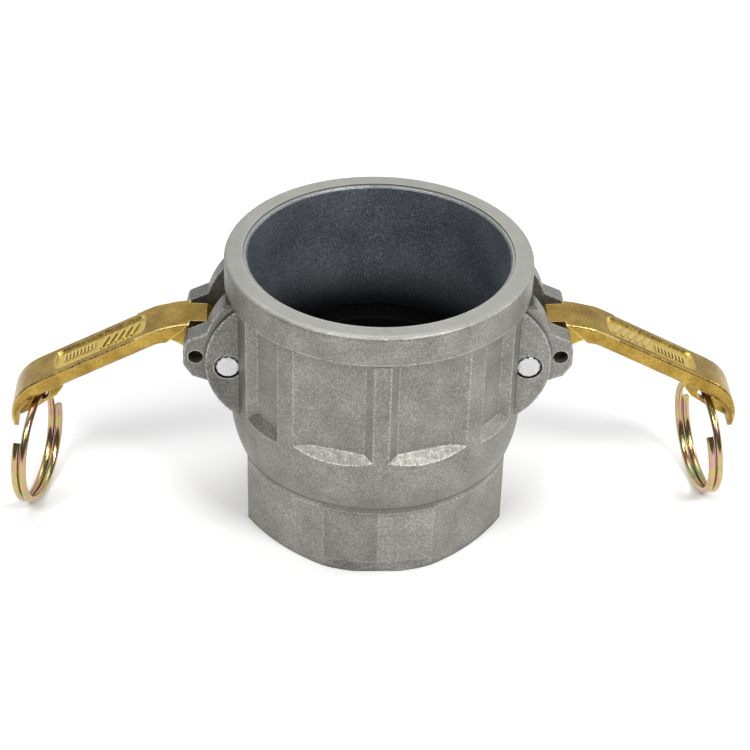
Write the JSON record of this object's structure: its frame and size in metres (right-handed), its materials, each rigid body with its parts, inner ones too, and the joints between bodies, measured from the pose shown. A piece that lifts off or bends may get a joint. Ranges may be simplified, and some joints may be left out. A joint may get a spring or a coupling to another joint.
{
  "type": "camlock coupling",
  "caption": "Female camlock coupling: aluminium cup with a sealing ring and threaded base, two brass cam arms that swing down to grip an adapter, each with a pull ring.",
  "frame": {"origin": "on the flow axis, at the bottom face of the threaded socket", "axes": "+Z along the flow axis out of the open cup; the two cam arms point along +X and -X; -Y is the front"},
  "size_m": [0.2632, 0.1084, 0.1035],
  "materials": {
    "cast_aluminium": "blasted casting, turned bore",
    "rubber": "smooth moulded black rubber",
    "brass": "tumbled forged brass, satin with bright edges",
    "pin_steel": "bright zinc plated, peened ends",
    "ring_wire": "iridescent yellow zinc plated wire"
  },
  "bodies": {
    "casting": {"coupling_body": "cast_aluminium", "gasket": "rubber", "pivot_pin_left": "pin_steel", "pivot_pin_right": "pin_steel"},
    "arm_left": {"cam_arm_left": "brass"},
    "arm_right": {"cam_arm_right": "brass"},
    "ring_left": {"pull_ring_left": "ring_wire"},
    "ring_right": {"pull_ring_right": "ring_wire"}
  },
  "joints": [
    {"name": "arm_right_hinge", "type": "hinge", "parent": "casting", "child": "arm_right", "pos_m": [0.053, 0, 0.0672], "axis": [0, 1, 0], "range_deg": [-40, 63]},
    {"name": "arm_left_hinge", "type": "hinge", "parent": "casting", "child": "arm_left", "pos_m": [-0.053, 0, 0.0672], "axis": [0, -1, 0], "range_deg": [-40, 63]},
    {"name": "ring_right_hinge", "type": "hinge", "parent": "arm_right", "child": "ring_right", "pos_m": [0.1213, 0, 0.04305], "axis": [0, -1, 0], "range_deg": [-20, 40]},
    {"name": "ring_left_hinge", "type": "hinge", "parent": "arm_left", "child": "ring_left", "pos_m": [-0.1213, 0, 0.04305], "axis": [0, 1, 0], "range_deg": [-20, 40]}
  ]
}
